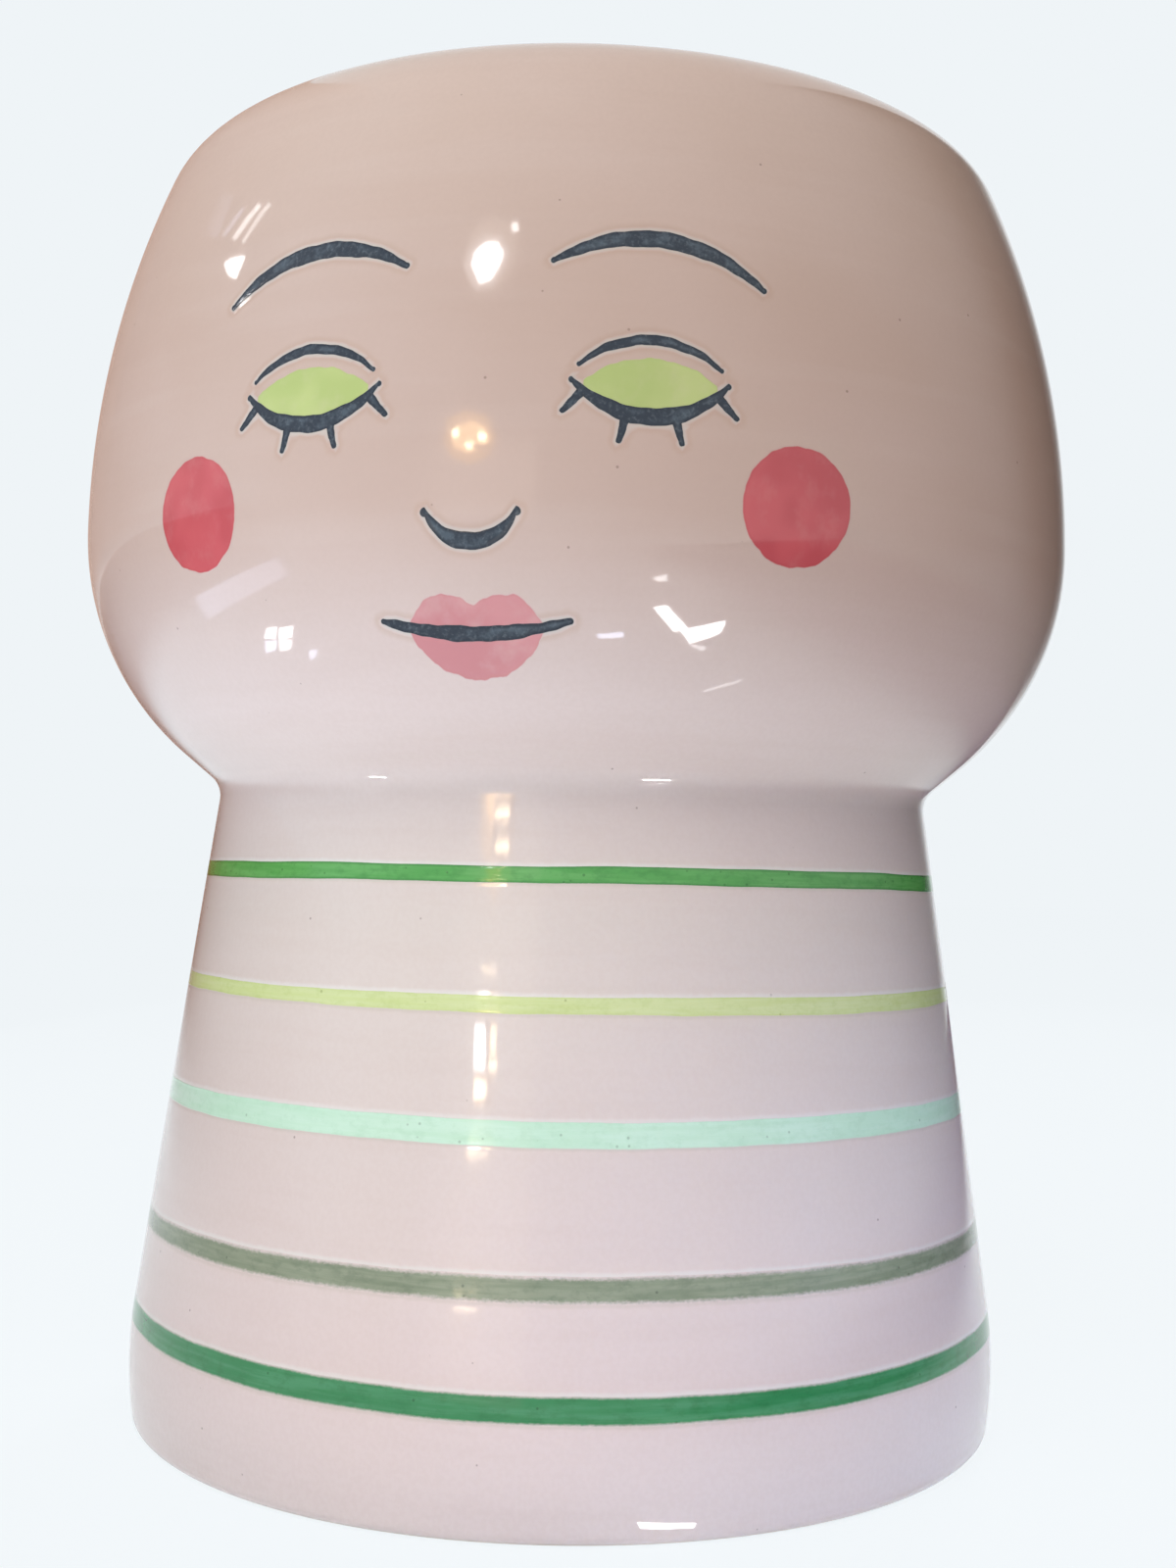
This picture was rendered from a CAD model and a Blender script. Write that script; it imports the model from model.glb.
import math

import bpy
import numpy as np
from mathutils import Matrix, Vector


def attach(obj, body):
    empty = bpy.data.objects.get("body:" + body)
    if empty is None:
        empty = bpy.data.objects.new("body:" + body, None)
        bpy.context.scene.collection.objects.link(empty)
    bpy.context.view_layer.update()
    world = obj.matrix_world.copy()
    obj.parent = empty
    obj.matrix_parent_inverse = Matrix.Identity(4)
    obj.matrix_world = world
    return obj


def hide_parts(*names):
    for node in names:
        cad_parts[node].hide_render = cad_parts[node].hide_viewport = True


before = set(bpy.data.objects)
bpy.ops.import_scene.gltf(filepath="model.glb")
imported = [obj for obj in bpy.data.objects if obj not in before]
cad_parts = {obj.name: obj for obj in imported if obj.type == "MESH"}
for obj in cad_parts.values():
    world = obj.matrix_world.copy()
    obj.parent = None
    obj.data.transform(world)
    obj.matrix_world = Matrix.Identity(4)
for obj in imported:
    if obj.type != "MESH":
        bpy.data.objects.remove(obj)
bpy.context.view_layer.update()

# Trunk
# The lower clay body: a cone thrown hollow on the wheel, with a flat floor and a low foot ring.
# Its clay is stained pink all through and lies under a clear gloss glaze that leaves the foot bare.
mm = 0.001
vase_height = 220.0
wall = 5.5
lean = math.radians(7.9)
base_centre = np.array([10.0, 11.0])
base_turn = 66.0
foot_corner = 2.0
floor_height = 8.5
floor_corner = 6.0
recess_radius = 61.0
recess_depth = 2.5
recess_corner = 1.6
ring_corner = 0.4
joint_half = 0.5
underside_lean = math.radians(50.1)
cheek_centre = np.array([38.6, 151.8])
cheek_curve = 48.6
waist_fillet = 4.5
wheel_columns = 360
seam_gap = 0.002
sharp_angle = math.radians(48)

cone_normal = np.array([math.cos(lean), math.sin(lean)])
underside_normal = np.array([math.cos(underside_lean), -math.sin(underside_lean)])
cone_start = base_centre + base_turn * cone_normal
underside_end = cheek_centre + cheek_curve * underside_normal
waist_corner = np.linalg.solve(
    np.array([cone_normal, underside_normal]),
    np.array([cone_start @ cone_normal, underside_end @ underside_normal]),
)
waist_centre = waist_corner + (cone_normal + underside_normal) * waist_fillet / (
    1 + cone_normal @ underside_normal
)
bore = waist_fillet + wall


def inside(centre, radius, small_radius, level):
    """Centre of a small arc at this level that lies in a large arc and touches it."""
    reach = math.sqrt((radius - small_radius) ** 2 - (level - centre[1]) ** 2)
    return np.array([centre[0] + reach, level])


def toward(centre, point):
    return (point - centre) / np.linalg.norm(point - centre)


def arc(centre, radius, start, end, spacing):
    """Points of a section along the short way round from start to end, both given as directions."""
    first = math.atan2(start[1], start[0])
    sweep = math.atan2(start[0] * end[1] - start[1] * end[0], start @ end)
    count = max(2, round(abs(sweep) * radius / spacing))
    angles = first + sweep * np.linspace(0, 1, count + 1)
    return centre + radius * np.column_stack([np.cos(angles), np.sin(angles)])


def line(start, end, spacing):
    count = max(1, round(np.linalg.norm(end - start) / spacing))
    return start + (end - start) * np.linspace(0, 1, count + 1)[:, None]


def chained(*stretches):
    """One outline from stretches that each start where the last one ended."""
    return np.vstack([stretches[0]] + [stretch[1:] for stretch in stretches[1:]])


def on_cone(level):
    return np.array([waist_corner[0] - (level - waist_corner[1]) * math.tan(lean), level])


def on_bore(level):
    return np.array([waist_centre[0] - math.sqrt(bore**2 - (level - waist_centre[1]) ** 2), level])


right_way, up_way = np.array([1.0, 0.0]), np.array([0.0, 1.0])
foot_centre = inside(base_centre, base_turn, foot_corner, foot_corner)
floor_centre = inside(base_centre, base_turn - wall, floor_corner, floor_height + floor_corner)
foot_way = toward(base_centre, foot_centre)
floor_way = toward(base_centre, floor_centre)
trunk_top = waist_corner[1] - joint_half
recess_centre = np.array([recess_radius - recess_corner, recess_depth - recess_corner])
ring_centre = np.array([recess_radius + ring_corner, ring_corner])
trunk_outline = chained(
    line(np.array([0.0, recess_depth]), recess_centre + recess_corner * up_way, 6),
    arc(recess_centre, recess_corner, up_way, right_way, 0.4),
    line(recess_centre + recess_corner * right_way, ring_centre - ring_corner * right_way, 0.5),
    arc(ring_centre, ring_corner, -right_way, -up_way, 0.2),
    line(ring_centre - ring_corner * up_way, foot_centre - foot_corner * up_way, 2),
    arc(foot_centre, foot_corner, -up_way, foot_way, 0.3),
    arc(base_centre, base_turn, foot_way, cone_normal, 0.8),
    line(cone_start, on_cone(trunk_top), 0.8),
    line(on_cone(trunk_top), on_bore(trunk_top), 3),
    arc(waist_centre, bore, toward(waist_centre, on_bore(trunk_top)), -cone_normal, 0.8),
    line(waist_centre - bore * cone_normal, base_centre + (base_turn - wall) * cone_normal, 5),
    arc(base_centre, base_turn - wall, cone_normal, floor_way, 2),
    arc(floor_centre, floor_corner, floor_way, -up_way, 0.8),
    line(floor_centre - floor_corner * up_way, np.array([0.0, floor_height]), 5),
)


class Link:
    """A socket in a node tree. Sums and products of links and numbers add Math nodes."""

    def __init__(self, tree, socket):
        self.tree = tree
        self.socket = socket

    def maths(self, operation, *values):
        return add(self.tree, "ShaderNodeMath", {"operation": operation}, dict(enumerate(values)))

    def __add__(self, other):
        return self.maths("ADD", self, other)

    def __sub__(self, other):
        return self.maths("SUBTRACT", self, other)

    def __rsub__(self, other):
        return self.maths("SUBTRACT", other, self)

    def __mul__(self, other):
        return self.maths("MULTIPLY", self, other)

    def __truediv__(self, other):
        return self.maths("DIVIDE", self, other)

    def __gt__(self, other):
        return self.maths("GREATER_THAN", self, other)

    def __lt__(self, other):
        return self.maths("LESS_THAN", self, other)

    __radd__ = __add__
    __rmul__ = __mul__


def add(tree, kind, settings=None, inputs=None, output=0):
    """A node of any type: its settings come first, then the values or links of its sockets."""
    node = tree.nodes.new(kind)
    for name, value in (settings or {}).items():
        if name == "stops":
            ramp = node.color_ramp
            while len(ramp.elements) < len(value):
                ramp.elements.new(1)
            for element, (place, colour) in zip(ramp.elements, value):
                element.position = place
                element.color = colour
        else:
            setattr(node, name, value)
    for name, value in (inputs or {}).items():
        if isinstance(value, Link):
            tree.links.new(value.socket, node.inputs[name])
        else:
            node.inputs[name].default_value = value
    return Link(tree, node.outputs[output])


def axis_of(tree, vector, axis):
    return add(tree, "ShaderNodeSeparateXYZ", {}, {0: vector}, output=axis)


def shape_tree(name, numbers):
    """An empty geometry tree with these named number inputs, and links to its inputs."""
    tree = bpy.data.node_groups.new(name, "GeometryNodeTree")
    kinds = {"Outline": "Geometry", **dict.fromkeys(numbers, "Float"), "Finish": "Material"}
    for label, kind in kinds.items():
        tree.interface.new_socket(label, in_out="INPUT", socket_type="NodeSocket" + kind)
    tree.interface.new_socket("Piece", in_out="OUTPUT", socket_type="NodeSocketGeometry")
    entry = tree.nodes.new("NodeGroupInput")
    return tree, {socket.name: Link(tree, socket) for socket in entry.outputs if socket.name}


def close_tree(tree, shape, place, finish):
    """Moves the points to their places, joins seams and poles, and ends in real geometry."""
    moved = add(tree, "GeometryNodeSetPosition", {}, {"Geometry": shape, "Position": place})
    joined = add(tree, "GeometryNodeMergeByDistance", {}, {"Geometry": moved, "Distance": seam_gap * mm})
    smooth = add(tree, "GeometryNodeSetShadeSmooth", {}, {"Geometry": joined, "Shade Smooth": True})
    real = add(tree, "GeometryNodeRealizeInstances", {}, {"Geometry": smooth})
    dressed = add(tree, "GeometryNodeSetMaterial", {}, {"Geometry": real, "Material": finish})
    tree.links.new(dressed.socket, tree.nodes.new("NodeGroupOutput").inputs[0])


def wheel_tree():
    """Turns an outline once round the upright axis. Gather packs the columns closer at the face."""
    tree, given = shape_tree("turned_on_the_wheel", ("Columns", "Gather"))
    rows = add(tree, "GeometryNodeAttributeDomainSize", {}, {"Geometry": given["Outline"]})
    columns = given["Columns"]
    grid = add(tree, "GeometryNodeMeshGrid", {}, {"Vertices X": columns + 1, "Vertices Y": rows})
    index = add(tree, "GeometryNodeInputIndex")
    column = index.maths("FLOOR", (index + 0.5) / rows)
    row = index - column * rows
    turn = column * math.tau / columns
    turn = turn + given["Gather"] * turn.maths("SINE", turn) + math.pi / 2
    spot = add(
        tree,
        "GeometryNodeSampleIndex",
        {"data_type": "FLOAT_VECTOR"},
        {"Geometry": given["Outline"], "Value": add(tree, "GeometryNodeInputPosition"), "Index": row},
    )
    radius = axis_of(tree, spot, 0)
    sideways = radius * turn.maths("COSINE", turn)
    away = radius * turn.maths("SINE", turn)
    place = add(tree, "ShaderNodeCombineXYZ", {}, {0: sideways, 1: away, 2: axis_of(tree, spot, 2)})
    close_tree(tree, grid, place, given["Finish"])
    return tree


def placed(name, data):
    item = bpy.data.objects.new(name, data)
    bpy.context.scene.collection.objects.link(item)
    return item


def shaped(name, flat, tree, **values):
    """A plain mesh object made by the tree from a flat mesh."""
    piece = placed(name, flat)
    modifier = piece.modifiers.new("shape", "NODES")
    modifier.node_group = tree
    for item in tree.interface.items_tree:
        if item.in_out == "INPUT" and item.name in values:
            modifier[item.identifier] = values[item.name]
    view = bpy.context.evaluated_depsgraph_get()
    mesh = bpy.data.meshes.new_from_object(piece.evaluated_get(view), depsgraph=view)
    piece.modifiers.clear()
    piece.data = mesh
    mesh.set_sharp_from_angle(angle=sharp_angle)
    return piece


def turned(name, outline, columns, gather, finish):
    """A closed solid from an outline in millimetres, run anticlockwise as (radius, height)."""
    flat = bpy.data.meshes.new(name + "_outline")
    flat.from_pydata([(x * mm, 0, z * mm) for x, z in outline], [], [])
    return shaped(name, flat, wheel, Columns=float(columns), Gather=gather, Finish=finish)


def fit(piece, node, slot):
    """The piece takes the place of its CAD node."""
    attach(piece, "root")
    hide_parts(node)


def srgb(red, green, blue):
    """A colour as it is read off a swatch, turned linear for a shader socket."""
    shares = (red / 255, green / 255, blue / 255)
    return (*(v / 12.92 if v < 0.04045 else ((v + 0.055) / 1.055) ** 2.4 for v in shares), 1.0)


def fade(value, low, high):
    """0 below low, 1 above high, and a soft step between them."""
    sockets = {"Value": value, "From Min": low, "From Max": high}
    return add(value.tree, "ShaderNodeMapRange", {"interpolation_type": "SMOOTHSTEP"}, sockets)


def mixed(factor, first, second):
    sockets = {0: factor, 6: first, 7: second}
    return add(factor.tree, "ShaderNodeMix", {"data_type": "RGBA"}, sockets, output=2)


def attribute(tree, name):
    return add(tree, "ShaderNodeAttribute", {"attribute_name": name}, output=2)


def object_place(tree):
    return add(tree, "ShaderNodeTexCoord", output=3)


def stretched(tree, sideways, upright):
    """Object coordinates scaled for a pattern that the turning draws out sideways."""
    scale = (sideways, sideways, upright)
    return add(tree, "ShaderNodeMapping", {}, {"Vector": object_place(tree), "Scale": scale})


def noise(tree, sideways, upright, detail=2.0, roughness=0.5):
    grain = {"Scale": 1.0, "Detail": detail, "Roughness": roughness}
    return add(tree, "ShaderNodeTexNoise", {}, {"Vector": stretched(tree, sideways, upright), **grain})


def spots(tree, scale, radius, share):
    """Round spots of up to this radius in cells of 1 / scale, in this share of the cells."""
    cell = {"Vector": stretched(tree, scale, scale), "Scale": 1.0}
    distance = add(tree, "ShaderNodeTexVoronoi", {}, cell)
    draw = add(tree, "ShaderNodeTexVoronoi", {}, cell, output=1)
    chance = add(tree, "ShaderNodeSeparateColor", {}, {0: draw})
    return (1 - fade(distance, radius * scale * 0.5, radius * scale)) * (chance < share)


def finish(name):
    material = bpy.data.materials.new(name)
    material.use_nodes = True
    material.node_tree.nodes.clear()
    return material, material.node_tree


def surface(tree, shader):
    tree.links.new(shader.socket, tree.nodes.new("ShaderNodeOutputMaterial").inputs[0])


def glazed(tree, colour, relief, roughness=None):
    """Clear gloss glaze over a colour, with the swell of brush and wheel in it, in millimetres."""
    swell = noise(tree, 95, 130, 1.5) * 0.016 + noise(tree, 30, 380, 2.0) * 0.0007
    swell = swell + noise(tree, 330, 330, 1.0) * 0.003
    peel = noise(tree, 900, 900, 1.0) * 0.0006
    pores = spots(tree, 420, 0.00022, 0.16) * 0.01
    height = swell + peel + relief - pores
    normal = add(tree, "ShaderNodeBump", {}, {"Strength": 1.0, "Distance": mm, "Height": height})
    roughness = roughness or 0.045 + noise(tree, 60, 160, 2.0) * 0.03
    look = {"Base Color": colour, "Roughness": roughness, "IOR": 1.5, "Normal": normal}
    surface(tree, add(tree, "ShaderNodeBsdfPrincipled", {}, look))


def height_mm(tree):
    return axis_of(tree, object_place(tree), 2) * 1000


def pink_clay(tree):
    """The stained clay: warm tan at the brow, cooler pink below, with streaks left by the wheel."""
    stops = [
        (0.0, srgb(240, 228, 228)),
        (0.09, srgb(220, 204, 202)),
        (0.40, srgb(214, 202, 196)),
        (0.54, srgb(220, 203, 200)),
        (0.66, srgb(199, 173, 162)),
        (0.80, srgb(200, 173, 160)),
        (0.97, srgb(214, 190, 177)),
    ]
    colour = add(tree, "ShaderNodeValToRGB", {"stops": stops}, {0: height_mm(tree) / vase_height})
    cloud = fade(noise(tree, 26, 34, 2.0), 0.42, 0.68)
    colour = mixed(cloud * 0.1, colour, srgb(222, 203, 200))
    streak = fade(noise(tree, 24, 330, 3.0, 0.6), 0.45, 0.72)
    colour = mixed(streak * 0.05, colour, srgb(190, 160, 146))
    pale = fade(noise(tree, 16, 190, 2.0), 0.52, 0.7)
    colour = mixed(pale * 0.05, colour, srgb(229, 214, 208))
    grain = fade(noise(tree, 1300, 1300, 1.0), 0.35, 0.65)
    colour = mixed(grain * 0.05, colour, srgb(186, 158, 146))
    return mixed(spots(tree, 150, 0.00026, 0.75) * 0.55, colour, srgb(120, 98, 88))


def clay_finish(name, halo):
    """Pink clay under gloss. halo adds what the slips beside it do, and returns colour and relief."""
    material, tree = finish(name)
    colour, relief = halo(tree, pink_clay(tree))
    bare = 1 - fade(height_mm(tree), 0.25, 0.5)
    colour = mixed(bare, colour, srgb(222, 208, 192))
    glazed(tree, colour, relief, 0.05 + bare * 0.75)
    return material


def beside_bands(tree, colour):
    """Slip that ran or thinned: a pale line over each band and a faint stain under it."""
    over = attribute(tree, "over_band")
    under = attribute(tree, "under_band")
    ragged = (noise(tree, 700, 700, 2.0) - 0.5) * 0.5
    pale = (1 - fade(over + ragged, 0.1, 0.75)) * 0.5
    stain = (1 - fade(under + ragged, 0.1, 0.6)) * 0.22
    colour = mixed(pale, colour, srgb(226, 226, 222))
    colour = mixed(stain, colour, srgb(176, 168, 152))
    near = over.maths("MINIMUM", over, under)
    return colour, fade(near, 0.0, 0.7) * 0.02


wheel = wheel_tree()
trunk_clay = clay_finish("pink_clay_trunk", beside_bands)
trunk = turned("trunk_body", trunk_outline, wheel_columns, 0.0, trunk_clay)
fit(trunk, "trunk", "pink_slip_glazed")

# Waist slip
# Soft slip that lutes head and trunk together, squeezed out and wiped round the crease by finger.
# It is the same stained clay, and the glaze runs over it without a break.
low_end = waist_centre - waist_fillet * cone_normal
high_end = waist_centre - waist_fillet * underside_normal
head_bottom = waist_corner[1] + joint_half
on_underside = waist_corner + joint_half * np.array([math.tan(underside_lean), 1.0])
bore_from = toward(waist_centre, on_bore(head_bottom))
bore_to = toward(waist_centre, on_bore(trunk_top))
waist_outline = chained(
    arc(waist_centre, waist_fillet, -cone_normal, -underside_normal, 0.25),
    line(high_end, on_underside, 1),
    line(on_underside, on_bore(head_bottom), 3),
    arc(waist_centre, bore, bore_from, bore_to, 0.5),
    line(on_bore(trunk_top), on_cone(trunk_top), 3),
    line(on_cone(trunk_top), low_end, 1),
)


def plain(tree, colour):
    """Clay with no slip beside it."""
    return colour, 0.0


waist_clay = clay_finish("pink_clay_waist", plain)
waist = turned("waist_body", waist_outline, wheel_columns, 0.0, waist_clay)
fit(waist, "waist_slip_joint", "waist_slip")

# Head
# The upper clay body: a wide bowl thrown upside down, whose shoulder rolls in to a round lip.
# Beside each slate line the glaze pools pale over a faint warm stain and dips towards the line.
head_radius = 87.2
equator = 151.8
upper_curve = 154.5
upper_centre = np.array([head_radius - upper_curve, equator])
shoulder_roll = 13.7
head_columns = 500
head_gather = -0.42

shoulder_centre = inside(upper_centre, upper_curve, shoulder_roll, vase_height - shoulder_roll)
shoulder_way = toward(upper_centre, shoulder_centre)
crown = shoulder_centre + shoulder_roll * up_way
lip_centre = crown - wall / 2 * up_way
inward_rising, inward_falling = np.array([-1.0, 0.001]), np.array([-1.0, -0.001])
bore_end = waist_centre - bore * underside_normal
head_outline = chained(
    line(high_end, underside_end, 1.5),
    arc(cheek_centre, cheek_curve, underside_normal, right_way, 0.75),
    arc(upper_centre, upper_curve, right_way, shoulder_way, 0.9),
    arc(shoulder_centre, shoulder_roll, shoulder_way, up_way, 1.2),
    arc(lip_centre, wall / 2, up_way, inward_rising, 0.7),
    arc(lip_centre, wall / 2, inward_falling, -up_way, 0.7),
    arc(shoulder_centre, shoulder_roll - wall, up_way, shoulder_way, 1.5),
    arc(upper_centre, upper_curve - wall, shoulder_way, right_way, 6),
    arc(cheek_centre, cheek_curve - wall, right_way, underside_normal, 4),
    line(cheek_centre + (cheek_curve - wall) * underside_normal, bore_end, 3),
    arc(waist_centre, bore, -underside_normal, bore_from, 0.8),
    line(on_bore(head_bottom), on_underside, 3),
    line(on_underside, high_end, 1),
)


def beside_lines(tree, colour):
    gap = attribute(tree, "line_gap")
    ragged = (noise(tree, 800, 800, 2.0) - 0.5) * 0.25
    warm = fade(gap + ragged, 0.35, 0.6) * (1 - fade(gap + ragged, 0.6, 1.5))
    colour = mixed(warm * 0.3, colour, srgb(184, 150, 128))
    pale = 1 - fade(gap + ragged, 0.15, 0.5)
    colour = mixed(pale * 0.42, colour, srgb(200, 201, 196))
    return colour, fade(gap, 0.0, 0.8) * 0.05


head_clay = clay_finish("pink_clay_head", beside_lines)
head = turned("head_body", head_outline, head_columns, head_gather, head_clay)
fit(head, "head", "pink_slip_glazed")

# Bands
# Five rings of coloured slip, laid with a loaded brush while the trunk turned, flush with the clay.
# Each brush load ran its own way: crisp and pitted, smooth, bubbled, dry and fuzzy, or soft-edged.
band_rows = 13
band_columns = 480
band_lift = 0.012
band_depth = 0.5
band_drift = 0.1
band_waver = 0.07
band_overlap = 1.5
far_off = 9.0
band_height_shares = (0.867, 0.692, 0.523, 0.324, 0.177)
band_names = ("leaf_green", "lime", "mint", "sage", "forest_green")
band_widths = (2.7, 2.6, 3.8, 3.9, 4.0)
band_looks = {
    "leaf_green": ((82, 158, 78), (52, 124, 56), (112, 178, 104), 0.7, 0.9, 0.15, 0.08),
    "lime": ((200, 212, 148), (182, 198, 124), (212, 220, 172), 0.2, 0.1, 0.3, 0.12),
    "mint": ((192, 226, 202), (172, 212, 184), (208, 234, 218), 0.15, 0.2, 0.3, 0.15),
    "sage": ((127, 138, 115), (98, 110, 90), (158, 166, 145), 0.1, 0.2, 0.9, 0.8),
    "forest_green": ((50, 130, 80), (34, 104, 60), (86, 156, 112), 0.2, 0.25, 0.35, 0.5),
}


def wall_radius(level):
    """Outer radius of the trunk at these heights, from the base arc up the cone."""
    level = np.asarray(level, float)
    curved = base_centre[0] + np.sqrt(base_turn**2 - (level - base_centre[1]) ** 2)
    return np.where(level < cone_start[1], curved, on_cone(level)[0])


def hand(turn, seed, reach, waves=(2, 3, 5, 9, 17, 31, 54)):
    """How far a steady hand strays at these places of a closed round."""
    chance = np.random.default_rng(seed)
    size = np.array([1 / wave**0.55 for wave in waves])
    size *= reach / np.sqrt((size**2).sum() / 2)
    return sum(s * np.sin(wave * turn + chance.uniform(0, math.tau)) for s, wave in zip(size, waves))


def band_edges(number, turn):
    middle = band_height_shares[number] * waist_corner[1]
    half = band_widths[number] / 2
    drift = hand(turn, 40 + number, band_drift)
    return (
        middle - half + drift + hand(turn, 50 + number, band_waver),
        middle + half + drift + hand(turn, 60 + number, band_waver),
    )


def store(mesh, name, values):
    mesh.attributes.new(name, "FLOAT", "POINT").data.foreach_set("value", np.asarray(values, np.float32))


def points_of(mesh):
    places = np.zeros(len(mesh.vertices) * 3, np.float32)
    mesh.vertices.foreach_get("co", places)
    return places.reshape(-1, 3).astype(float) / mm


def band_finish(name, body, dark, light, rim, pits, fuzz, soft):
    """Brushed slip: how dark its rims dried, how pocked, how dry and how softly the brush laid it."""
    material, tree = finish(name)
    edge = attribute(tree, "edge")
    ragged = edge + (noise(tree, 1400, 2200, 3.0, 0.7) - 0.5) * fuzz
    streak = fade(noise(tree, 60, 900, 3.0, 0.6), 0.35, 0.65)
    colour = mixed(streak * 0.5, srgb(*body), srgb(*light))
    mottle = fade(noise(tree, 420, 700, 3.0, 0.7), 0.45, 0.7)
    colour = mixed(mottle * 0.35, colour, srgb(*dark))
    colour = mixed((1 - fade(ragged, 0.1, 0.45)) * rim, colour, srgb(*dark))
    pit = spots(tree, 620, 0.00028, pits)
    colour = mixed(pit * 0.6, colour, srgb(*(v * 0.8 for v in dark)))
    colour = mixed(fade(ragged, -0.05, soft), pink_clay(tree), colour)
    grit = noise(tree, 1700, 1700, 1.0) * (1 - fade(edge, 0.0, 0.5))
    relief = (1 - fade(edge, 0.0, 0.5)) * 0.015 - pit * 0.02 + mottle * 0.003 + grit * 0.02
    glazed(tree, colour, relief)
    return material


for number, name in enumerate(band_names):
    middle = band_height_shares[number] * waist_corner[1]
    half = band_widths[number] / 2
    across = np.sin(np.linspace(-math.pi / 2, math.pi / 2, band_rows))
    levels = middle + half * across
    skin = wall_radius(levels) + np.where(np.abs(across) < 0.999, band_lift, -band_lift)
    outer = np.column_stack([skin, levels])
    inner = np.column_stack([wall_radius(levels[-2:0:-4]) - band_depth, levels[-2:0:-4]])
    slip = band_finish(name + "_slip", *band_looks[name])
    ring = turned(name + "_band", np.vstack([outer, inner, outer[:1]]), band_columns, 0.0, slip)
    places = points_of(ring.data)
    turn = np.arctan2(places[:, 1], places[:, 0])
    low, high = band_edges(number, turn)
    share = (places[:, 2] - middle) / half
    level = (low + high) / 2 + share * (high - low) / 2
    depth = np.hypot(places[:, 0], places[:, 1]) - wall_radius(places[:, 2])
    radius = wall_radius(level) + depth
    moved = np.column_stack([radius * np.cos(turn), radius * np.sin(turn), level]) * mm
    ring.data.vertices.foreach_set("co", moved.astype(np.float32).ravel())
    store(ring.data, "edge", (1 - np.abs(share)) * (high - low) / 2)
    ring.data.update()
    fit(ring, "band_" + name, name + "_slip")

places = points_of(trunk.data)
turn = np.arctan2(places[:, 1], places[:, 0])
outside = np.hypot(places[:, 0], places[:, 1]) > wall_radius(np.clip(places[:, 2], 0, trunk_top)) - 1
over = under = np.full(len(places), far_off)
for number in range(len(band_names)):
    low, high = band_edges(number, turn)
    above = places[:, 2] - high
    below = low - places[:, 2]
    over = np.where(outside & (above > -band_overlap), np.minimum(over, above), over)
    under = np.where(outside & (below > -band_overlap), np.minimum(under, below), under)
store(trunk.data, "over_band", over)
store(trunk.data, "under_band", under)

# Washes
# Thin washes of coloured slip laid before the lines: round cheeks, the lips and the closed eyelids.
# They have no thickness to speak of, gather darker along their rims and thin out where the brush left.
eye_level = equator + 0.164 * (vase_height - equator)
brow_level = equator + 0.399 * (vase_height - equator)
below_equator = equator - waist_corner[1]
nose_level = equator - 0.17 * below_equator
mouth_level = equator - 0.508 * below_equator
cheek_level = equator - 0.112 * below_equator
eye_offset = 25.0
brow_offset = 26.5
cheek_offset = 47.0
cheek_size = 8.6
lid_half = 11.0
lid_drop = 5.0
eyelid_half = 9.5
eyelid_rise = 3.4
mouth_half = 13.5
mouth_drop = 1.8
lip_half = 10.0
upper_lip_rise = 3.6
bow_level = 2.2
lower_lip_drop = 6.2
wash_lift = 0.006
cheek_rows, lid_rows, lip_rows = 28, 16, 14


def head_tree():
    """Lays a flat drawing on the head, square to it, at this offset round it and this level."""
    tree, given = shape_tree("laid_on_the_head", ("Offset", "Level"))
    spot = add(tree, "GeometryNodeInputPosition")
    sideways, depth, rise = (axis_of(tree, spot, axis) for axis in range(3))
    level = rise + given["Level"]
    climb = level - equator * mm
    upper = climb.maths("SQRT", (upper_curve * mm) ** 2 - climb * climb) + upper_centre[0] * mm
    lower = climb.maths("SQRT", (cheek_curve * mm) ** 2 - climb * climb) + cheek_centre[0] * mm
    is_upper = climb > 0
    radius = is_upper * upper + (1 - is_upper) * lower + depth
    front = radius.maths("SQRT", radius * radius - sideways * sideways)
    turn = given["Offset"] / (head_radius * mm)
    sine = turn.maths("SINE", turn)
    cosine = turn.maths("COSINE", turn)
    across, away = front * sine + sideways * cosine, sideways * sine - front * cosine
    place = add(tree, "ShaderNodeCombineXYZ", {}, {0: across, 1: away, 2: level})
    close_tree(tree, given["Outline"], place, given["Finish"])
    return tree


def bow(x, half, ends, middle):
    """Heights at x of the arc through (-half, ends), (0, middle) and (half, ends)."""
    rise = middle - ends
    radius = (half**2 + rise**2) / (2 * abs(rise))
    return middle - math.copysign(1, rise) * (radius - np.sqrt(radius**2 - x**2))


def spread(half, spacing):
    """Places from -half to half, closer together towards the ends."""
    count = max(8, 2 * round(half / spacing))
    return half * np.sin(np.linspace(-math.pi / 2, math.pi / 2, count + 1))


def unsteady(edge, seed, reach, wave):
    """The edge with the small strays of a brush, which die out at its ends."""
    chance = np.random.default_rng(seed)
    run = np.concatenate([[0], np.cumsum(np.hypot(*np.diff(edge, axis=0).T))])
    calm = np.minimum(1, np.minimum(run, run[-1] - run) / 1.2)
    stray = sum(
        np.sin(math.tau * run / (wave * scale) + chance.uniform(0, math.tau)) * scale**0.5
        for scale in (1.0, 0.57, 0.31)
    )
    return edge + np.column_stack([np.zeros(len(run)), stray * calm * reach / 1.4])


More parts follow.
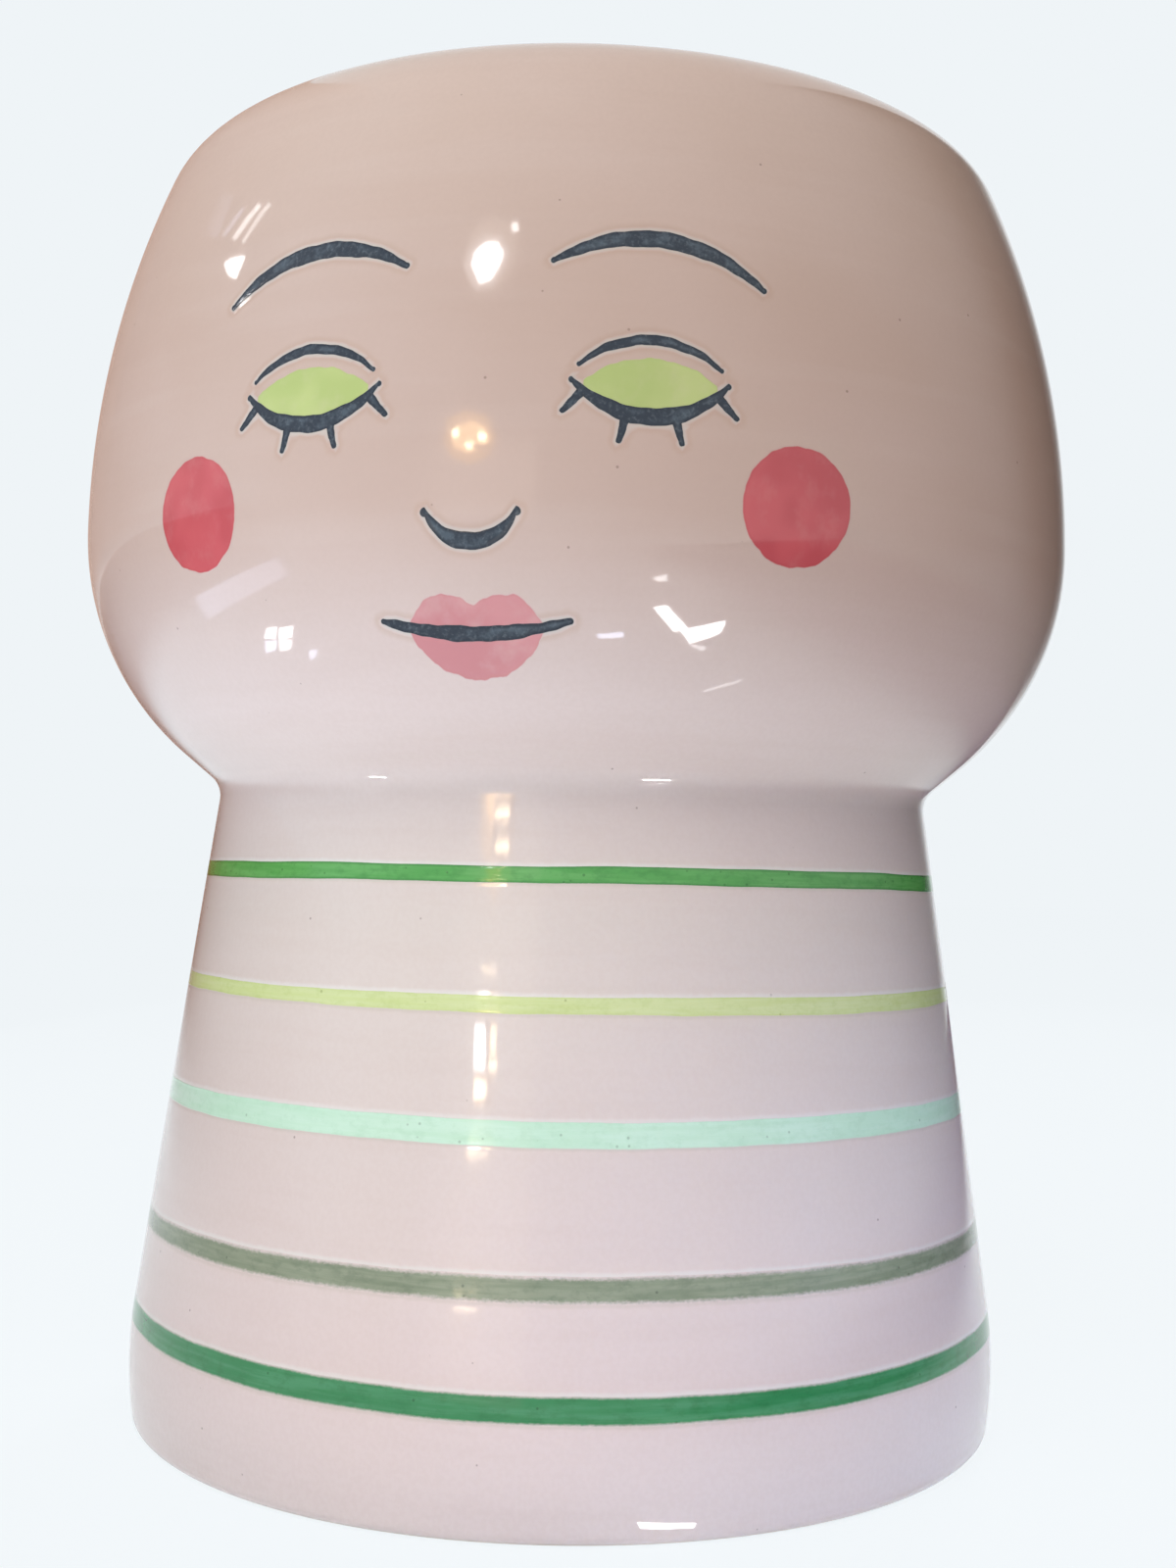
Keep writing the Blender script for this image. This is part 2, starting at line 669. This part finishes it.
def signed_gap(points, outlines):
    """Distance from each point to the nearest outline, negative inside one."""
    best = np.full(len(points), 99.0)
    for outline in outlines:
        start = outline[None]
        run = np.roll(outline, -1, axis=0)[None] - start
        way = points[:, None] - start
        along = np.clip((way * run).sum(2) / np.maximum((run**2).sum(2), 1e-12), 0, 1)
        gap = np.sqrt(((way - along[..., None] * run) ** 2).sum(2)).min(1)
        rises = (way[..., 1] >= 0) != (way[..., 1] - run[..., 1] >= 0)
        cross = way[..., 0] * run[..., 1] - way[..., 1] * run[..., 0]
        inside_it = (rises & ((cross < 0) == (run[..., 1] > 0))).sum(1) % 2 == 1
        best = np.minimum(best, np.where(inside_it, -gap, gap))
    return best


def pad(lower, upper, rows, lift, tuck):
    """A thin closed pad between two edges, as (sideways, depth, up) points and faces."""
    shares = (1 - np.cos(np.linspace(0, math.pi, rows))) / 2
    top = [lower + share * (upper - lower) for share in shares]
    ring = top + [lower + share * (upper - lower) for share in (0.9, 0.5, 0.1)]
    depths = [tuck] + [lift] * (rows - 2) + [tuck] + [-0.4] * 3
    count, around = len(lower), len(ring)
    points = [
        (ring[j][i][0], depths[j] if 0 < i < count - 1 else tuck, ring[j][i][1])
        for i in range(count)
        for j in range(around)
    ]
    faces = []
    for start in range(0, (count - 1) * around, around):
        for j in range(around):
            after = start + (j + 1) % around
            faces.append((start + j, start + around + j, after + around, after))
    return points, faces


def laid(name, shapes, rows, lift, tuck, offset, level, finish):
    """One inlay from shapes that may overlap, each a pair of edges. Its points know their edge gap."""
    outlines = [np.vstack([lower, upper[::-1]]) for lower, upper in shapes]
    points, faces = [], []
    for lower, upper in shapes:
        more, sides = pad(lower, upper, rows, lift, tuck)
        faces += [tuple(corner + len(points) for corner in side) for side in sides]
        points += more
    points = np.array(points)
    flat = bpy.data.meshes.new(name + "_drawing")
    flat.from_pydata([tuple(point) for point in points * mm], [], faces)
    store(flat, "edge", np.maximum(0, -signed_gap(points[:, [0, 2]], outlines)))
    return shaped(name, flat, on_head, Offset=offset * mm, Level=level * mm, Finish=finish)


def wash_finish(name, body, deep, thin, strength):
    """Watery slip: deeper blots, thin streaks, and a rim where the colour gathered as it dried."""
    material, tree = finish(name)
    edge = attribute(tree, "edge")
    ragged = edge + (noise(tree, 500, 500, 3.0) - 0.5) * 0.35
    blot = fade(noise(tree, 75, 75, 2.0, 0.6), 0.42, 0.64)
    colour = mixed(blot * 0.5, srgb(*body), srgb(*deep))
    streak = fade(noise(tree, 230, 200, 3.0, 0.6), 0.45, 0.72)
    colour = mixed(streak * 0.16, colour, srgb(*thin))
    colour = mixed((1 - fade(ragged, 0.12, 0.5)) * 0.25, colour, srgb(*deep))
    cover = fade(ragged, -0.02, 0.2) * (strength - (1 - strength) * streak)
    glazed(tree, mixed(cover, pink_clay(tree), colour), 0.03 * fade(edge, 0.0, 0.01))
    return material


def wash(name, shapes, rows, offset, level, finish):
    return laid(name, shapes, rows, wash_lift, -wash_lift, offset, level, finish)


def disc(size, seed):
    sideways = spread(size, 0.3)
    half = np.sqrt(np.maximum(0, size**2 - sideways**2))
    lower = unsteady(np.column_stack([sideways, -half]), seed, 0.1, 7)
    upper = unsteady(np.column_stack([sideways, half]), seed + 1, 0.1, 7)
    return lower, upper


on_head = head_tree()
coral = wash_finish("coral_slip", (200, 84, 92), (176, 56, 68), (210, 112, 118), 0.95)
rose = wash_finish("rose_slip", (208, 132, 138), (190, 104, 114), (220, 164, 164), 0.86)
lime_wash = wash_finish("lime_wash", (188, 202, 126), (160, 182, 96), (208, 216, 158), 0.92)
for side, sign in (("left", -1), ("right", 1)):
    shapes = [disc(cheek_size, 70 + sign)]
    cheek = wash("cheek_" + side, shapes, cheek_rows, sign * cheek_offset, cheek_level, coral)
    fit(cheek, "cheek_" + side, "coral_slip")
    sideways = spread(eyelid_half, 0.35)
    lower = np.column_stack([sideways, bow(sideways, lid_half, 0, -lid_drop)])
    upper = np.column_stack([sideways, bow(sideways, eyelid_half, 0, eyelid_rise)])
    upper = unsteady(upper, 80 + sign, 0.12, 6)
    lower[[0, -1]] = upper[[0, -1]]
    shapes = [(lower, upper)]
    lid = wash("eyelid_" + side, shapes, lid_rows, sign * eye_offset, eye_level, lime_wash)
    fit(lid, "eyelid_" + side, "lime_slip")

sideways = spread(lip_half, 0.3)
seam = np.column_stack([sideways, bow(sideways, mouth_half, 0, -mouth_drop)])
corner_level = seam[0, 1]
half_lip = np.abs(sideways) - lip_half / 2
bow_ends = np.where(half_lip > 0, corner_level, bow_level)
lip_top = upper_lip_rise + (bow_ends - upper_lip_rise) * (half_lip / (lip_half / 2)) ** 2
upper_lip = [(seam, unsteady(np.column_stack([sideways, lip_top]), 90, 0.15, 5))]
lip_bottom = bow(sideways, lip_half, corner_level, -mouth_drop - lower_lip_drop)
lower_lip = [(unsteady(np.column_stack([sideways, lip_bottom]), 91, 0.15, 5), seam)]
for name, shapes in (("upper_lip", upper_lip), ("lower_lip", lower_lip)):
    lip = wash(name + "_wash", shapes, lip_rows, 0, mouth_level, rose)
    fit(lip, name, "rose_slip")

# Slate lines
# Lines of thick slate-blue slip, trailed and brushed last, which sank a little as they were fired.
# They are darker along their rims, mottled lighter down the middle, and their edges waver.
line_lift = 0.02
line_tuck = -0.03
line_rows = 11
line_reach = 4.0
face_depth = 50.0
nose_shape = (6.5, -4.0, 2.5, 1.4)
mouth_shape = (mouth_half, -mouth_drop, 2.2, 0.9)
brow_shape = (15.0, 5.0, 2.7, 1.0)
brow_tilt = math.radians(5)
crease_shape = (10.0, 3.8, 1.6, 0.8)
crease_lift = 2.2
lid_shape = (lid_half, -lid_drop, 2.6, 1.0)
lash_length = 4.6
lash_root = 1.5
lash_tip = 0.8
lash_spread = math.radians(27)
lash_count = 4
lash_bend = 0.35


def slate_finish():
    material, tree = finish("slate_slip")
    edge = attribute(tree, "edge")
    ragged = edge + (noise(tree, 700, 700, 3.0) - 0.5) * 0.16
    mottle = fade(noise(tree, 300, 300, 4.0, 0.7), 0.42, 0.66) * fade(ragged, 0.2, 0.7)
    colour = mixed(mottle * 0.65, srgb(38, 47, 60), srgb(84, 97, 108))
    colour = mixed((1 - fade(ragged, 0.05, 0.4)) * 0.7, colour, srgb(26, 32, 44))
    grit = fade(noise(tree, 1800, 1800, 2.0), 0.5, 0.75)
    colour = mixed(grit * 0.25, colour, srgb(120, 130, 138))
    colour = mixed(1 - fade(ragged, -0.02, 0.08), colour, srgb(150, 156, 158))
    relief = (1 - fade(edge, 0.05, 0.75)) * 0.05 + mottle * 0.012 - grit * 0.003
    glazed(tree, colour, relief)
    return material


def stroke(half, rise, thickness, tip, seed):
    """A brush stroke along an arc: broad in the middle, with a small round tip at each end."""
    body = spread(half, 0.45)
    swing = np.linspace(0, math.pi / 2, 7)[1:]
    cap = half + tip / 2 * np.sin(swing)
    cap_half = tip / 2 * np.cos(swing)
    sideways = np.concatenate([-cap[::-1], body, cap])
    high = np.concatenate([cap_half[::-1], bow(body, half, tip / 2, rise + thickness / 2), cap_half])
    low = np.concatenate([-cap_half[::-1], bow(body, half, -tip / 2, rise - thickness / 2), -cap_half])
    lower = unsteady(np.column_stack([sideways, low]), seed, 0.09, 8)
    upper = unsteady(np.column_stack([sideways, high]), seed + 1, 0.09, 8)
    return lower, upper


def tilted(shape, angle, shift=(0.0, 0.0)):
    turn = np.array([[math.cos(angle), math.sin(angle)], [-math.sin(angle), math.cos(angle)]])
    return tuple(edge @ turn + np.array(shift) for edge in shape)


def lash(angle, seed):
    """One short stroke that leaves the middle of the lid line square to it and tapers to a tip."""
    reach = (lid_half**2 + lid_drop**2) / (2 * lid_drop)
    run = np.linspace(0, 1, 15)
    half = lash_root / 2 + (lash_tip - lash_root) / 2 * run
    half *= np.sqrt(np.clip((1 - run) * lash_length / (lash_tip / 2), 0, 1))
    half[0] = 0
    bend = lash_bend * np.sin(angle) * run**2
    centre = np.column_stack([reach + run * lash_length, bend])
    lower = unsteady(centre - half[:, None] * up_way, seed, 0.04, 3)
    upper = unsteady(centre + half[:, None] * up_way, seed + 1, 0.04, 3)
    return tilted((lower, upper), angle - math.pi / 2, (0.0, reach - lid_drop))


def eye_lines(seed):
    angles = [(count - (lash_count - 1) / 2) * lash_spread for count in range(lash_count)]
    fan = [lash(angle, seed + 10 + 2 * count) for count, angle in enumerate(angles)]
    return [stroke(*lid_shape, seed)] + fan


slate = slate_finish()
drawn = [
    ("nose_line", "nose_stroke", 0.0, nose_level, [stroke(*nose_shape, 101)]),
    ("mouth_line", "mouth_stroke", 0.0, mouth_level, [stroke(*mouth_shape, 103)]),
]
for side, sign in (("left", -1), ("right", 1)):
    brow = tilted(stroke(*brow_shape, 110 + sign * 2), -sign * brow_tilt)
    crease = tilted(stroke(*crease_shape, 120 + sign * 2), 0.0, (0.0, crease_lift))
    at_eye = (sign * eye_offset, eye_level)
    drawn += [
        ("brow_" + side, "brow_stroke_" + side, sign * brow_offset, brow_level, [brow]),
        ("lid_crease_" + side, "lid_crease_stroke_" + side, *at_eye, [crease]),
        ("lash_line_" + side, "lash_strokes_" + side, *at_eye, eye_lines(130 + sign * 30)),
    ]
places = points_of(head.data)
line_gap = np.full(len(places), far_off)
for node, name, offset, level, shapes in drawn:
    piece = laid(name, shapes, line_rows, line_lift, line_tuck, offset, level, slate)
    fit(piece, node, "slate_slip")
    turn = offset / head_radius
    sideways = places[:, 0] * math.cos(turn) + places[:, 1] * math.sin(turn)
    ahead = places[:, 0] * math.sin(turn) - places[:, 1] * math.cos(turn)
    drawing = np.column_stack([sideways, places[:, 2] - level])
    corners = np.vstack([edge for shape in shapes for edge in shape])
    low, high = corners.min(0) - line_reach, corners.max(0) + line_reach
    near = (ahead > face_depth) & (drawing > low).all(1) & (drawing < high).all(1)
    outlines = [np.vstack([lower, upper[::-1]]) for lower, upper in shapes]
    line_gap[near] = np.minimum(line_gap[near], signed_gap(drawing[near], outlines))
store(head.data, "line_gap", line_gap)

# Table and backdrop
# A plain pale sweep that the vase stands on. It keeps a soft shadow under the foot.
pale = srgb(239, 244, 247)
table_half = 6
table_glow = 1.06
glow_cover = 0.93


def seen_directly(tree):
    """1 for rays from the camera, a reflection or a glass, 0 for light that bounces."""
    camera = add(tree, "ShaderNodeLightPath", output=0)
    glossy = add(tree, "ShaderNodeLightPath", output=3)
    clear = add(tree, "ShaderNodeLightPath", output=6)
    total = camera + glossy + clear
    return total.maths("MINIMUM", total, 1.0)


def table_finish():
    material, tree = finish("pale_table")
    look = {"Base Color": srgb(236, 240, 243), "Roughness": 0.9, "Specular IOR Level": 0.0}
    matt = add(tree, "ShaderNodeBsdfPrincipled", {}, look)
    bright = add(tree, "ShaderNodeEmission", {}, {"Color": pale, "Strength": table_glow})
    shown = {0: seen_directly(tree) * glow_cover, 1: matt, 2: bright}
    surface(tree, add(tree, "ShaderNodeMixShader", {}, shown))
    return material


sweep = bpy.data.meshes.new("table")
table_corners = [(x * table_half, y * table_half, 0) for x, y in ((-1, -1), (1, -1), (1, 1), (-1, 1))]
sweep.from_pydata(table_corners, [], [range(4)])
sweep.materials.append(table_finish())
table = placed("table", sweep)

world = bpy.data.worlds.new("studio")
bpy.context.scene.world = world
world.use_nodes = True
room = world.node_tree
room.nodes.clear()
soft = add(room, "ShaderNodeBackground", {}, {"Color": srgb(250, 248, 248), "Strength": 0.17})
backdrop = add(room, "ShaderNodeBackground", {}, {"Color": pale, "Strength": 1.0})
sky = add(room, "ShaderNodeMixShader", {}, {0: seen_directly(room), 1: soft, 2: backdrop})
room.links.new(sky.socket, room.nodes.new("ShaderNodeOutputWorld").inputs[0])

# Light and camera
# Broad soft lamps light the vase from the front and the sides, and low ones stand in for light that
# bounces off the table. Panes and boards are lamps, windows and walls that the glaze alone mirrors.
white, warm, cool, amber = (255, 255, 255), (255, 226, 184), (220, 230, 255), (255, 206, 140)
vase_middle = (0, 0, 0.12)


def lamp(name, place, size, power, colour, target=vase_middle, beam=180, shape="RECTANGLE", lit=True):
    """A soft lamp that either lights the vase or only shows mirrored in its glaze."""
    data = bpy.data.lights.new(name, "AREA")
    data.shape = shape
    data.size, data.size_y = size
    data.energy = power
    data.color = srgb(*colour)[:3]
    data.spread = math.radians(beam)
    item = placed(name, data)
    item.location = place
    item.rotation_euler = (Vector(place) - Vector(target)).to_track_quat("Z", "Y").to_euler()
    item.visible_camera = False
    item.visible_diffuse = lit
    item.visible_glossy = not lit


def glint(name, place, size, brightness, colour, target, beam, shape="RECTANGLE"):
    """A lamp of this brightness that only shows mirrored in the glaze."""
    area = size[0] * size[1] * (math.pi / 4 if shape == "ELLIPSE" else 1)
    lamp(name, place, size, brightness * math.pi * area, colour, target, beam, shape, lit=False)


def sheet(name, corners, colour, strength, cover, shades):
    """A flat sheet that the glaze mirrors, bright where cover is 1 and clear where it is 0."""
    mesh = bpy.data.meshes.new(name)
    mesh.from_pydata(corners, [], [range(len(corners))])
    material, tree = finish(name)
    glow = add(tree, "ShaderNodeEmission", {}, {"Color": srgb(*colour), "Strength": strength})
    clear = add(tree, "ShaderNodeBsdfTransparent")
    surface(tree, add(tree, "ShaderNodeMixShader", {}, {0: cover(tree), 1: clear, 2: glow}))
    mesh.materials.append(material)
    item = placed(name, mesh)
    item.visible_camera = False
    item.visible_diffuse = False
    item.visible_shadow = shades


def board(name, corners, colour, axis, across, rise, strength=1.0, shades=True):
    """A large sheet whose edges fade in from clear to solid along this axis and up from the table."""

    def cover(tree):
        along, upward = (axis_of(tree, object_place(tree), out) for out in (axis, 2))
        return fade(along, *across) * fade(upward, *rise) * (1 - fade(along, 0.5, 1.5))

    sheet(name, corners, colour, strength, cover, shades)


def pane(name, cone, colour, strength, toward, corners):
    """A bright sheet seen only within a cone of this half angle, in degrees, round one place."""
    corners = [Vector(corner) * mm for corner in corners]
    axis = (Vector(toward) * mm - sum(corners, Vector()) / len(corners)).normalized()

    def cover(tree):
        seen_from = add(tree, "ShaderNodeNewGeometry", output=4)
        dot = {"operation": "DOT_PRODUCT"}
        facing = add(tree, "ShaderNodeVectorMath", dot, {0: seen_from, 1: axis}, output=1)
        return fade(facing, math.cos(math.radians(cone)), math.cos(math.radians(cone * 0.8)))

    sheet(name, corners, colour, strength, cover, shades=False)


def panes(kind, cone, rows):
    """Each row is a pane: its colour, strength, the place it shines at and its corners, in mm."""
    for number, row in enumerate(rows):
        pane(f"{kind}_{number}", cone, *row)


def beside(side, first, last, low, high):
    return [(side, first, low), (side, last, low), (side, last, high), (side, first, high)]


lamp("high_front", (-0.14, -0.79, 1.27), (0.7, 0.7), 7.8, (252, 255, 250))
lamp("right_front", (0.6, -1.0, 1.6), (0.7, 0.7), 5.8, (255, 222, 208))
lamp("left_front", (-0.95, -0.95, 0.62), (0.7, 0.7), 2.6, (250, 250, 255))
lamp("table_bounce", (-0.36, -0.42, 0.004), (0.55, 0.5), 2.6, (210, 236, 255), (-0.36, -0.42, 1))
lamp("foot_bounce", (-0.05, -0.15, 0.003), (0.36, 0.1), 0.095, (246, 243, 246), (-0.05, -0.15, 1))
lamp("low_front", (0.1, -0.75, 0.03), (0.3, 0.09), 0.015, (255, 252, 250), (0, 0, 0.1), 20)
lamp("base_front", (-0.05, -0.6, 0.02), (0.34, 0.04), 0.0045, (252, 252, 255), (0, 0, 0.012), 6)
lamp("low_right", (0.75, -0.15, 0.05), (0.3, 0.09), 0.034, (165, 204, 255), (0, 0, 0.035), 12)
lamp("back", (0.2, 1.3, 0.6), (0.9, 0.9), 1.5, (255, 252, 248), beam=30)
waist_left, waist_right = (-0.02, -0.061, 0.109), (0.023, -0.059, 0.109)
ceiling = (-0.18, -0.84, 0.83)
glint("ceiling_glow", ceiling, (0.2, 0.2), 1.2, (255, 244, 228), vase_middle, 180, "ELLIPSE")
glint("waist_glint_left", (-0.091, -0.1, 0.051), (0.012, 0.002), 2.4, white, waist_left, 16)
glint("waist_glint_right", (0.069, -0.111, 0.037), (0.016, 0.002), 3.6, white, waist_right, 16)
panes("window", 40, (
    (white, 14, (-39, -72, 192), (
        (-455, -46, 470), (-454, -61, 470), (-427, -88, 506), (-429, -72, 506))),
    (white, 9, (-37, -73, 191), (
        (-451, -80, 472), (-450, -91, 471), (-420, -112, 510), (-421, -100, 511))),
    (cool, 7, (-42, -70, 193), ((-456, -8, 467), (-456, -24, 468), (-438, -44, 496), (-438, -32, 495))),
    (white, 26, (-40, -73, 185), (
        (-467, -53, 450), (-462, -71, 457), (-453, -109, 463),
        (-459, -110, 453), (-465, -110, 442), (-469, -85, 442))),
    (cool, 4.5, (-45, -67, 195), ((-503, 70, 489), (-507, 9, 496), (-482, 25, 532), (-478, 80, 524))),
))
panes("ceiling", 60, (
    (white, 30, (1, -84, 180), (
        (-171, -607, 614), (-163, -594, 633), (-138, -589, 648), (-108, -595, 649),
        (-92, -609, 635), (-100, -624, 613), (-120, -635, 594), (-149, -633, 587))),
    (white, 4, (1, -84, 180), (
        (-211, -665, 656), (-198, -642, 691), (-160, -636, 712), (-112, -645, 713),
        (-85, -667, 693), (-94, -693, 657), (-127, -709, 627), (-176, -703, 619))),
    (white, 16, (5, -83, 185), ((-80, -577, 675), (-64, -575, 680), (-57, -586, 668), (-71, -589, 663))),
))
panes("bulb", 8, (
    (warm, 44, (-2, -87, 155), (
        (-208, -727, 352), (-190, -732, 354), (-189, -735, 341), (-205, -731, 339))),
    (warm, 44, (2, -87, 155), (
        (-138, -746, 347), (-114, -751, 346), (-116, -753, 334), (-135, -750, 334))),
    (warm, 36, (0, -87, 154), (
        (-174, -742, 331), (-148, -748, 331), (-152, -750, 319), (-168, -746, 319))),
    (amber, 4, (0, -87, 155), (
        (-263, -816, 358), (-252, -808, 399), (-200, -817, 417), (-135, -835, 407),
        (-101, -851, 369), (-120, -857, 332), (-179, -853, 295), (-239, -832, 325))),
    (amber, 11, (0, -87, 155), (
        (-228, -785, 355), (-212, -784, 376), (-167, -793, 385), (-127, -804, 373),
        (-113, -812, 351), (-137, -813, 330), (-182, -805, 325), (-216, -793, 335))),
))
panes("low_left", 16, (
    (white, 14, (-32, -75, 129), ((-108, -94, 84), (-104, -99, 83), (-104, -92, 78), (-108, -88, 80))),
    (white, 20, (-30, -76, 129), ((-103, -99, 82), (-98, -105, 81), (-98, -99, 76), (-103, -93, 77))),
    (cool, 11, (-33, -74, 127), ((-108, -87, 79), (-103, -92, 77), (-104, -86, 73), (-107, -81, 74))),
    (white, 10, (-30, -75, 127), ((-103, -93, 77), (-98, -98, 75), (-98, -92, 71), (-102, -87, 72))),
    (cool, 9, (-26, -75, 126), ((-91, -97, 68), (-88, -101, 67), (-88, -95, 64), (-90, -92, 64))),
    (cool, 3, (-37, -75, 136), (
        (-138, -68, 110), (-107, -130, 118), (-103, -128, 106), (-134, -64, 97))),
))
panes("low_right", 16, (
    (white, 26, (27, -78, 131), ((60, -140, 76), (66, -138, 78), (72, -124, 66), (66, -125, 63))),
    (white, 26, (32, -75, 129), ((68, -125, 65), (88, -119, 73), (84, -114, 66), (71, -116, 58))),
    (white, 9, (30, -75, 127), ((69, -117, 59), (77, -110, 58), (74, -109, 56), (67, -120, 60))),
    (white, 12, (26, -80, 136), ((62, -151, 94), (68, -149, 96), (68, -147, 92), (63, -149, 92))),
    (cool, 14, (19, -79, 128), ((33, -135, 59), (45, -133, 61), (44, -130, 58), (34, -132, 57))),
    (white, 6, (34, -69, 122), ((67, -84, 40), (85, -83, 48), (83, -81, 47), (68, -82, 40))),
))
panes("trunk", 3.4, (
    (warm, 60, (1, -64, 103), (
        (-138, -621, 280), (-91, -629, 282), (-90, -630, 280), (-134, -622, 278))),
    (warm, 60, (1, -64, 99), ((-133, -625, 266), (-86, -633, 268), (-88, -634, 265), (-129, -627, 264))),
    (warm, 3, (1, -64, 101), (
        (-121, -625, 277), (-105, -628, 278), (-105, -630, 268), (-118, -628, 268))),
    (warm, 34, (0, -67, 80), (
        (-158, -632, 206), (-104, -644, 208), (-107, -643, 207), (-152, -634, 205))),
    (white, 30, (-1, -69, 69), (
        (-163, -636, 180), (-134, -643, 181), (-128, -647, 164), (-163, -638, 164))),
    (warm, 20, (1, -68, 70), (
        (-117, -646, 183), (-96, -650, 183), (-101, -651, 171), (-116, -648, 171))),
    (warm, 40, (1, -69, 67), ((-121, -648, 167), (-91, -653, 168), (-93, -653, 165), (-116, -649, 164))),
    (warm, 44, (-1, -69, 63), (
        (-158, -641, 156), (-120, -650, 156), (-127, -649, 150), (-156, -643, 150))),
    (warm, 44, (0, -71, 54), (
        (-178, -640, 125), (-96, -658, 126), (-101, -658, 125), (-172, -642, 123))),
    (warm, 44, (-1, -74, 33), ((-188, -644, 57), (-113, -662, 59), (-117, -661, 57), (-179, -647, 55))),
    (amber, 1.3, (0, -69, 67), (
        (-238, -693, 202), (-65, -731, 207), (-57, -740, 157), (-231, -704, 153))),
    (amber, 1.3, (1, -64, 101), (
        (-198, -682, 310), (-55, -708, 315), (-52, -717, 279), (-185, -695, 275))),
))
panes("foot_strip", 60, (
    (white, 40, (28, -70, 3), (
        (25.3, -73.9, 2.3), (33.8, -70.2, 1.7), (33.5, -70.2, 0.9), (25.9, -73.5, 1.2))),
))
board("dark_wall", beside(0.36, -0.15, 1.6, 0.001, 0.9), (34, 24, 20), 1, (-0.15, 0.3), (-0.02, 0.07))
board("tan_wall", beside(-0.4, -0.3, 1.2, 0.1, 0.8), (200, 166, 150), 1, (-0.3, 0.1), (0.12, 0.2))
shelf = beside(-0.42, -0.35, 1.2, 0.001, 0.17)
board("brown_shelf", shelf, (140, 88, 58), 1, (-0.35, -0.08), (-0.01, 0.07))
ground = [(0.12, -0.5, 0.002), (1.6, -0.5, 0.002), (1.6, 1.6, 0.002), (0.12, 1.6, 0.002)]
board("dark_ground", ground, (104, 84, 100), 0, (0.14, 0.26), (-1.0, 0.0), shades=False)
front = [(-0.56, -1.08, 0.0), (0.025, -1.08, 0.0), (0.025, -1.08, 0.43), (-0.56, -1.08, 0.43)]
board("bright_room", front, (255, 250, 244), 0, (-0.54, -0.3), (-0.02, 0.0), 1.65)

view_turn = math.radians(10)
distance = 0.3408
eye = 0.09533
sensor = 36.0
focal_share = 1897.6 / 1600
yaw, pitch, roll = 0.0082, 0.0461, 0.0203
forward = Vector((math.sin(yaw) * math.cos(pitch), math.cos(yaw) * math.cos(pitch), math.sin(pitch)))
right = Vector((math.cos(yaw), -math.sin(yaw), 0.0))
upward = right.cross(forward)
level_right = math.cos(roll) * right + math.sin(roll) * upward
level_up = math.cos(roll) * upward - math.sin(roll) * right
pose = Matrix((level_right, level_up, -forward)).transposed().to_4x4()
pose.translation = (0.0, -distance, eye)
camera = placed("camera", bpy.data.cameras.new("camera"))
camera.matrix_world = Matrix.Rotation(view_turn, 4, "Z") @ pose
camera.data.sensor_width = sensor
camera.data.lens = focal_share * sensor
camera.data.clip_start = 0.01
bpy.context.scene.camera = camera
bpy.context.scene.view_settings.view_transform = "Standard"
